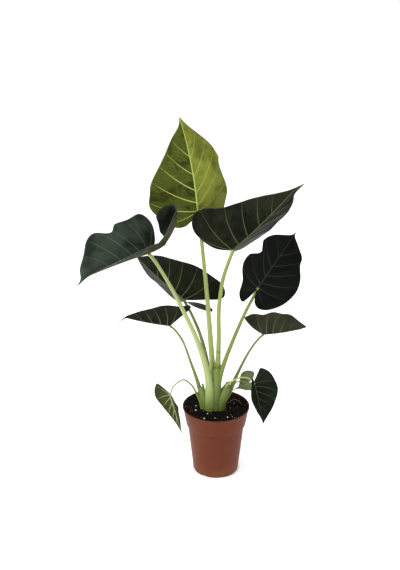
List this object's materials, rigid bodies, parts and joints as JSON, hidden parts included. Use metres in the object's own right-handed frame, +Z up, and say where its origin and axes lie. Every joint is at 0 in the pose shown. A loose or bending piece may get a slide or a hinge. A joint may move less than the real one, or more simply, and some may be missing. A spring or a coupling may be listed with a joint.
{
  "type": "potted alocasia",
  "caption": "Elephant-ear house plant with long pale stalks and dark, folded heart-shaped leaves, in a tapered nursery pot of soil.",
  "frame": {"origin": "centre of the pot's flat underside", "axes": "+Z up along the pot's axis, -Y to the front of the plant, +X to the plant's right as seen from the front"},
  "size_m": [0.4672, 0.2209, 0.8011],
  "materials": {
    "terracotta_plastic": "satin moulded terracotta-coloured plastic",
    "potting_mix": "coarse, almost black potting mix",
    "dark_leaf": "satin, very dark green above and dull bronze green below, with paler veins",
    "backlit_leaf": "satin, bright yellow green underside with pale veins",
    "young_leaf": "satin, mid green with pale veins",
    "petiole": "smooth, pale green, faintly ribbed",
    "perlite": "rough white grains",
    "root_fibre": "dry brown fibre"
  },
  "bodies": {
    "root": {"pot": "terracotta_plastic", "soil": "potting_mix", "leaf_top": "backlit_leaf", "petiole_top": "petiole", "leaf_upper_right": "dark_leaf", "petiole_upper_right": "petiole", "leaf_middle": "dark_leaf", "petiole_middle": "petiole", "leaf_right": "dark_leaf", "petiole_right": "petiole", "leaf_left": "dark_leaf", "petiole_left": "petiole", "leaf_lower_right": "dark_leaf", "petiole_lower_right": "petiole", "leaf_small_right": "dark_leaf", "petiole_small_right": "petiole", "leaf_young_right": "young_leaf", "petiole_young_right": "petiole", "leaf_lower_left": "dark_leaf", "petiole_lower_left": "petiole", "leaf_small_left": "young_leaf", "petiole_small_left": "petiole", "perlite_1": "perlite", "perlite_2": "perlite", "perlite_3": "perlite", "perlite_4": "perlite", "perlite_5": "perlite", "perlite_6": "perlite", "perlite_7": "perlite", "perlite_8": "perlite", "root_fibre": "root_fibre"}
  },
  "joints": []
}
